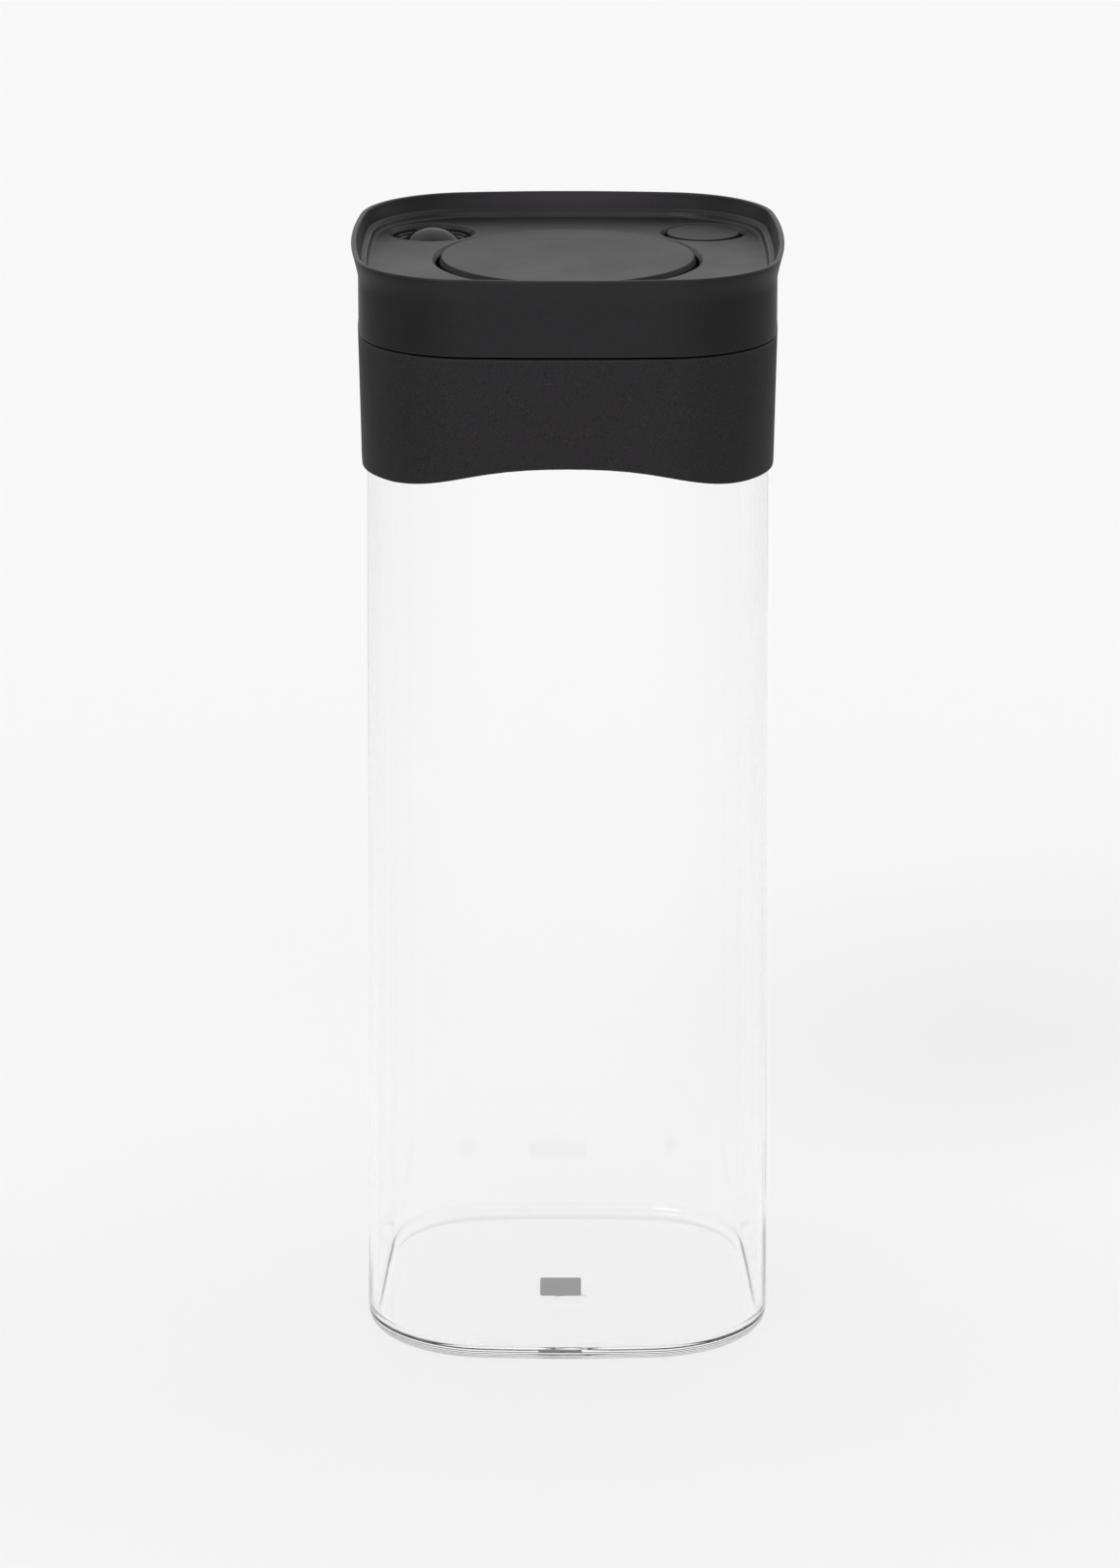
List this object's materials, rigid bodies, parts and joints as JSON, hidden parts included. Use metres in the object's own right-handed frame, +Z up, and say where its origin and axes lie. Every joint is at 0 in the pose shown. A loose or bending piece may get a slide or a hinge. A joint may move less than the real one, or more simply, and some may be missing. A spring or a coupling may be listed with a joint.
{
  "type": "vacuum storage canister",
  "caption": "Tall square glass storage canister with a black lid: a hand vacuum pump button, a release button and a vacuum indicator dome in a shallow tray.",
  "frame": {"origin": "on the surface the jar stands on, under the middle of its footprint", "axes": "+Z up, -Y is the front, the release button is on +X and the indicator dome on -X, both towards +Y"},
  "size_m": [0.1104, 0.1104, 0.2872],
  "materials": {
    "clear_glass": "clear, polished",
    "collar_plastic": "fine moulded speckle",
    "lid_plastic": "smooth satin",
    "button_plastic": "smooth satin, a little lighter than the lid",
    "release_plastic": "smooth satin",
    "ring_plastic": "gloss",
    "dome_silicone": "polished",
    "base_plastic": "satin",
    "white_plastic": "natural acetal",
    "gasket_silicone": "matte",
    "seal_silicone": "matte",
    "valve_silicone": "matte",
    "screw_steel": "zinc plated",
    "screen_steel": "stamped stainless",
    "spring_steel": "drawn stainless wire"
  },
  "bodies": {
    "jar": {"glass_body": "clear_glass", "collar_ring": "collar_plastic", "collar_gasket": "gasket_silicone"},
    "lid": {"lid_cover": "lid_plastic", "lid_base": "base_plastic", "lid_seal": "seal_silicone", "lid_screw_1": "screw_steel", "lid_screw_2": "screw_steel", "lid_screw_3": "screw_steel", "lid_screw_4": "screw_steel", "inlet_valve": "valve_silicone", "inlet_screen": "screen_steel", "indicator_ring": "ring_plastic", "pump_spring": "spring_steel", "release_spring": "spring_steel", "indicator_spring": "spring_steel"},
    "pump": {"pump_button": "button_plastic", "pump_piston": "white_plastic", "piston_seal": "seal_silicone", "piston_screw": "screw_steel", "exhaust_valve": "valve_silicone"},
    "release": {"release_button": "release_plastic", "release_stem": "white_plastic", "release_valve": "valve_silicone"},
    "indicator": {"indicator_dome": "dome_silicone", "indicator_stem": "white_plastic"}
  },
  "joints": [
    {"name": "lid_lift", "type": "slide", "parent": "jar", "child": "lid", "axis": [0, 0, 1], "range_m": [0, 0.06]},
    {"name": "pump_press", "type": "slide", "parent": "lid", "child": "pump", "axis": [0, 0, -1], "range_m": [0, 0.008], "stiffness_N_per_m": 300, "springref_m": -0.01, "deforming": ["pump_spring"]},
    {"name": "release_press", "type": "slide", "parent": "lid", "child": "release", "axis": [0, 0, -1], "range_m": [0, 0.002], "stiffness_N_per_m": 300, "springref_m": -0.003, "deforming": ["release_spring"]},
    {"name": "indicator_sink", "type": "slide", "parent": "lid", "child": "indicator", "axis": [0, 0, -1], "range_m": [0, 0.003], "stiffness_N_per_m": 80, "springref_m": -0.004, "deforming": ["indicator_spring"]}
  ]
}
